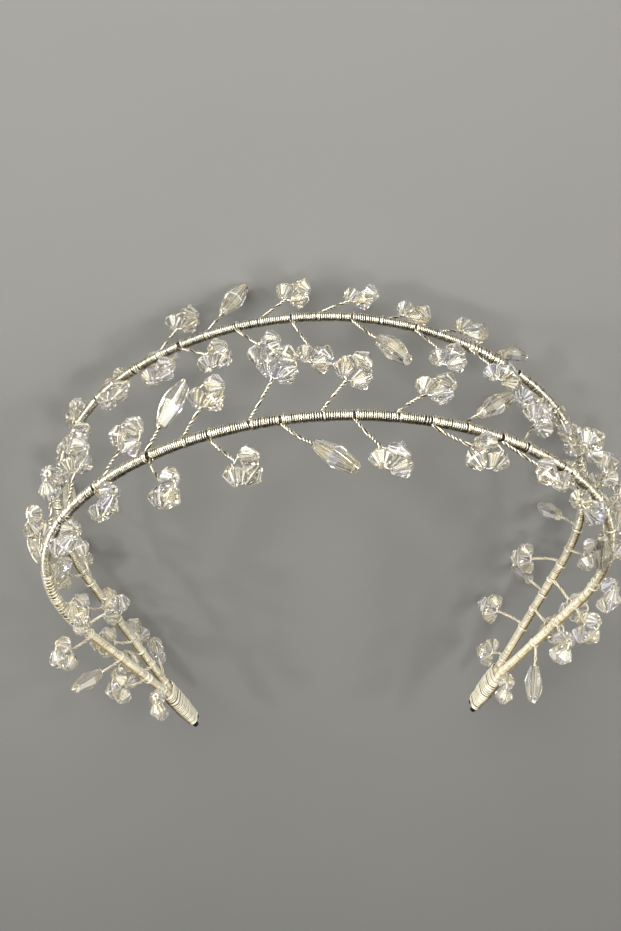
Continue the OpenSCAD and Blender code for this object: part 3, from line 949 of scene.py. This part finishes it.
# Settings
class TIARA_PG_wire(bpy.types.PropertyGroup):
    """Sizes and colours of the wires."""

    winding_pitch: bpy.props.FloatProperty(
        name="Winding pitch", description="Distance from one turn of the winding to the next",
        default=0.00043, min=0.00036, max=0.0006, unit="LENGTH", precision=5)
    root_gap: bpy.props.FloatProperty(
        name="Root gap", description="Bare core that shows where a stem leaves the winding",
        default=0.0006, min=0.0002, max=0.002, unit="LENGTH", precision=5)
    twist_pitch: bpy.props.FloatProperty(
        name="Twist pitch", description="Length of one full twist of a stem",
        default=0.0024, min=0.001, max=0.005, unit="LENGTH", precision=5)
    strand_r: bpy.props.FloatProperty(
        name="Strand radius", description="Radius of each strand of a twisted stem",
        default=0.00018, min=0.0001, max=0.0002, unit="LENGTH", precision=5)
    loose_pitch: bpy.props.FloatProperty(
        name="Open wrap pitch", description="Distance between turns of the open wrap on the arms",
        default=0.00135, min=0.0006, max=0.003, unit="LENGTH", precision=5)
    binding_r: bpy.props.FloatProperty(
        name="Binding wire radius", description="Radius of the coarse wire that binds the ends",
        default=0.00025, min=0.0002, max=0.0003, unit="LENGTH", precision=5)
    bright: bpy.props.FloatVectorProperty(
        name="Silver", description="Colour of the bright wire", subtype="COLOR", size=3,
        default=(0.95, 0.90, 0.74), min=0, max=1)
    tarnish: bpy.props.FloatVectorProperty(
        name="Tarnish", description="Colour of the wire where it has darkened", subtype="COLOR",
        size=3, default=(0.58, 0.50, 0.31), min=0, max=1)
    # Dark brown of the grooves between the turns: partly tarnish, partly painted shade
    groove_tarnish_and_shade: bpy.props.FloatVectorProperty(
        name="Grooves", description="Shade of the grooves between the turns", subtype="COLOR",
        size=3, default=(0.11, 0.08, 0.03), min=0, max=1)
    core: bpy.props.FloatVectorProperty(
        name="Core", description="Colour of the dark core wire", subtype="COLOR", size=3,
        default=(0.035, 0.028, 0.022), min=0, max=1)


class TIARA_PG_glass(bpy.types.PropertyGroup):
    """Cut and colours of the glass."""

    small_facets: bpy.props.IntProperty(
        name="Crystal facets", description="Facets round a small crystal",
        default=10, min=8, max=14)
    drop_facets: bpy.props.IntProperty(
        name="Drop facets", description="Facets round a drop", default=8, min=6, max=12)
    clear: bpy.props.FloatVectorProperty(
        name="Clear", description="Colour of the clear glass", subtype="COLOR", size=3,
        default=(1.0, 0.985, 0.94), min=0, max=1)
    violet: bpy.props.FloatVectorProperty(
        name="Violet", description="Cool side of the coat", subtype="COLOR", size=3,
        default=(0.89, 0.88, 1.0), min=0, max=1)
    straw: bpy.props.FloatVectorProperty(
        name="Straw", description="Warm side of the coat", subtype="COLOR", size=3,
        default=(1.0, 0.93, 0.74), min=0, max=1)
    # Strength of the painted glints and painted dark reflections on the facets
    body: bpy.props.FloatProperty(
        name="Flash", description="How much of the light the facets throw back", default=0.26,
        min=0, max=1, subtype="FACTOR")


class TIARA_PG_stage(bpy.types.PropertyGroup):
    """Floor and lights."""

    floor: bpy.props.FloatVectorProperty(
        name="Floor", description="Colour of the floor", subtype="COLOR", size=3,
        default=(0.235, 0.232, 0.218), min=0, max=1)
    key: bpy.props.FloatProperty(
        name="Key light", description="Strength of the large soft light",
        default=6.5, min=0, max=50)
    rim: bpy.props.FloatProperty(
        name="Small lights", description="Strength of the lights that spark in the facets",
        default=0.6, min=0, max=20)


# Pieces
class TIARA_OT_cores(bpy.types.Operator):
    """Gives the two core wires their dark finish."""

    bl_idname = "tiara.cores"
    bl_label = "Core wires"

    def execute(self, context):
        wire = context.scene.tiara_wire
        finish = core_finish("dark_drawn_wire", tuple(wire.core))
        for name in ("front_core", "back_core"):
            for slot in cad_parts[name].material_slots:
                slot.link = "OBJECT"
                slot.material = finish
        return {"FINISHED"}


class TIARA_OT_windings(bpy.types.Operator):
    """Winds silver wire on both bands and twists it out into the stems."""

    bl_idname = "tiara.windings"
    bl_label = "Windings and stems"

    def execute(self, context):
        wire = context.scene.tiara_wire
        finish = silver_finish("wound_silver_wire", wire, 1.5, 0.24)
        strand = wire.strand_r / MM
        for band in BANDS:
            dice = np.random.default_rng(11 if band is FRONT else 23)
            nodes = [f"{band.name}_{section}_winding" for section in SECTIONS]
            turns, openings = winding_parts(band, wire.winding_pitch / MM, wire.root_gap / MM, dice)
            loose = loose_wrap_parts(band, wire.loose_pitch / MM, dice)
            stems = []
            for row in band.sprigs:
                sprig = Sprig(band, row)
                stems += stem_parts(sprig, openings[row], wire.twist_pitch / MM, strand)
                hold = drop_wire if sprig.is_drop else cluster_wire
                stems.append(hold(sprig, strand))
            pieces = {"band_turns": turns, "open_wrap": loose, "twisted_stems": stems}
            for name, parts in pieces.items():
                obj = joined_mesh(f"{band.name}_{name}", parts, True, OUTWARD)
                seat(obj, finish, "silver_wire", *nodes)
        return {"FINISHED"}


class TIARA_OT_bindings(bpy.types.Operator):
    """Binds both ends with coarser wire."""

    bl_idname = "tiara.bindings"
    bl_label = "End bindings"

    def execute(self, context):
        wire = context.scene.tiara_wire
        finish = silver_finish("coarse_silver_wire", wire, 0.75, 0.3)
        for hand, side in ((-1, "left"), (1, "right")):
            dice = np.random.default_rng(31 + hand)
            parts = binding_parts(hand, wire.binding_r / MM, dice)
            obj = joined_mesh(side + "_end_binding", parts, True, OUTWARD)
            seat(obj, finish, "silver_wire", side + "_binding")
        return {"FINISHED"}


class TIARA_OT_crystals(bpy.types.Operator):
    """Threads the small crystals in clusters of three."""

    bl_idname = "tiara.crystals"
    bl_label = "Crystal clusters"

    def execute(self, context):
        glass = context.scene.tiara_glass
        finish = crystal_finish("cut_clear_glass", glass, glass.body)
        for band in BANDS:
            dice = np.random.default_rng(41 if band is FRONT else 43)
            parts = []
            for row in band.sprigs:
                if row[CRYSTALS] == 3:
                    parts += cluster_parts(Sprig(band, row), glass.small_facets, dice)
            obj = joined_mesh(band.name + "_crystal_clusters", parts, False, SHADE)
            seat(obj, finish, "cut_glass", band.name + "_crystals")
        return {"FINISHED"}


class TIARA_OT_drops(bpy.types.Operator):
    """Hangs the long cut drops on their stems."""

    bl_idname = "tiara.drops"
    bl_label = "Drops"

    def execute(self, context):
        glass = context.scene.tiara_glass
        finish = crystal_finish("cut_drop_glass", glass, glass.body * 0.85)
        for band in BANDS:
            drops = [row for row in band.sprigs if row[CRYSTALS] == 1]
            for i, row in enumerate(drops, 1):
                name = f"{band.name}_drop_{i}"
                dice = np.random.default_rng(60 + i)
                part = drop_part(Sprig(band, row), glass.drop_facets, dice)
                obj = joined_mesh(name + "_stone", [part], False, SHADE)
                seat(obj, finish, "cut_glass", name)
        return {"FINISHED"}


class TIARA_OT_stage(bpy.types.Operator):
    """Sets the floor, the lights and the camera."""

    bl_idname = "tiara.stage"
    bl_label = "Stage"

    def execute(self, context):
        stage = context.scene.tiara_stage
        floor = joined_mesh("floor", [(
            np.array([[-1, -1, 0], [1, -1, 0], [1, 1, 0], [-1, 1, 0]]) * FLOOR_HALF,
            [np.array([[0, 1, 2, 3]])], [])], False)
        floor.data.materials.append(floor_finish("plain_board", tuple(stage.floor)))
        lights = (
            ("key_light", (-0.18, 0.62, 0.34), 0.6, stage.key, (1.0, 0.985, 0.96)),
            ("fill_light", (0.55, 0.25, 0.7), 0.4, stage.key * 0.3, (0.97, 0.98, 1.0)),
            ("left_spark", (-0.42, 0.18, 0.36), 0.06, stage.rim, (1.0, 1.0, 1.0)),
            ("right_spark", (0.40, 0.30, 0.42), 0.06, stage.rim, (1.0, 0.99, 0.97)),
            ("near_spark", (0.02, 0.05, 0.62), 0.06, stage.rim, (1.0, 1.0, 1.0)),
        )
        for name, at, size, power, colour in lights:
            data = bpy.data.lights.new(name, "AREA")
            data.shape, data.size, data.energy, data.color = "DISK", size, power, colour
            lamp = bpy.data.objects.new(name, data)
            lamp.location = at
            lamp.rotation_mode = "QUATERNION"
            aim = Vector((0, 0, 0.02)) - lamp.location
            lamp.rotation_quaternion = aim.to_track_quat("-Z", "Y")
            context.scene.collection.objects.link(lamp)
        sky(context.scene)
        camera(context.scene)
        context.scene.view_settings.view_transform = "Standard"
        return {"FINISHED"}


def sky(scene):
    """Soft room light: bright behind the arch and above, darker past the ends."""
    world = bpy.data.worlds.new("soft_room")
    n = Nodes(world, "Generated")
    parts = n.parts()
    # Light reaches further round at the sides than over the head
    sideways = n.add("ShaderNodeMath", operation="MULTIPLY")
    n.join(parts["X"], sideways.inputs[0])
    n.join(parts["X"], sideways.inputs[1])
    lifted = n.add("ShaderNodeMath", operation="MULTIPLY_ADD")
    lifted.inputs[1].default_value = 0.5
    n.join(sideways.outputs["Value"], lifted.inputs[0])
    n.join(parts["Y"], lifted.inputs[2])
    room = n.ramp(n.spread(lifted.outputs["Value"], 0.0, 1.0, -1.0, 1.0), [
        (0.0, (0.03, 0.022, 0.014)), (0.43, (0.07, 0.054, 0.037)),
        (0.54, (0.9, 0.9, 0.88)), (1.0, (1.05, 1.04, 1.0))])
    # A plain grey strip stands behind the floor all round
    mix = n.add("ShaderNodeMix", data_type="RGBA")
    mix.inputs["B"].default_value = (0.42, 0.41, 0.39, 1)
    n.join(n.spread(parts["Z"], 1.0, 0.0, 0.1, 0.3), mix.inputs["Factor"])
    n.join(room, mix.inputs["A"])
    background = n.tree.nodes["Background"]
    n.join(mix.outputs["Result"], background.inputs["Color"])
    background.inputs["Strength"].default_value = 0.55
    scene.world = world


def camera(scene):
    """Camera at the angle of the photograph."""
    data = bpy.data.cameras.new("camera")
    data.sensor_width = 36
    data.lens = 40
    data.clip_start, data.clip_end = 0.01, 10
    eye = bpy.data.objects.new("camera", data)
    eye.location = (-0.0084, 0.148, 0.2215)
    eye.rotation_euler = [math.radians(turn) for turn in (-32.25, -2.68, -2.51)]
    scene.collection.objects.link(eye)
    scene.camera = eye


class TIARA_PT_panel(bpy.types.Panel):
    """Sizes, colours and steps of the tiara."""

    bl_idname = "TIARA_PT_panel"
    bl_label = "Tiara"
    bl_space_type = "VIEW_3D"
    bl_region_type = "UI"
    bl_category = "Tiara"

    def draw(self, context):
        for group in (getattr(context.scene, name) for name in GROUPS):
            box = self.layout.box()
            for name in group.bl_rna.properties.keys():
                if name not in ("rna_type", "name"):
                    box.prop(group, name)
        for step in STEPS:
            self.layout.operator(step.bl_idname)


STEPS = (TIARA_OT_cores, TIARA_OT_windings, TIARA_OT_bindings, TIARA_OT_crystals, TIARA_OT_drops,
         TIARA_OT_stage)
GROUPS = {"tiara_wire": TIARA_PG_wire, "tiara_glass": TIARA_PG_glass, "tiara_stage": TIARA_PG_stage}


def register():
    for kind in (*GROUPS.values(), *STEPS, TIARA_PT_panel):
        bpy.utils.register_class(kind)
    for name, kind in GROUPS.items():
        setattr(bpy.types.Scene, name, bpy.props.PointerProperty(type=kind))


def unregister():
    for name in GROUPS:
        delattr(bpy.types.Scene, name)
    for kind in (TIARA_PT_panel, *reversed(STEPS), *GROUPS.values()):
        bpy.utils.unregister_class(kind)


def main():
    register()
    bpy.ops.tiara.cores()
    bpy.ops.tiara.windings()
    bpy.ops.tiara.bindings()
    bpy.ops.tiara.crystals()
    bpy.ops.tiara.drops()
    bpy.ops.tiara.stage()


if __name__ == "__main__":
    main()
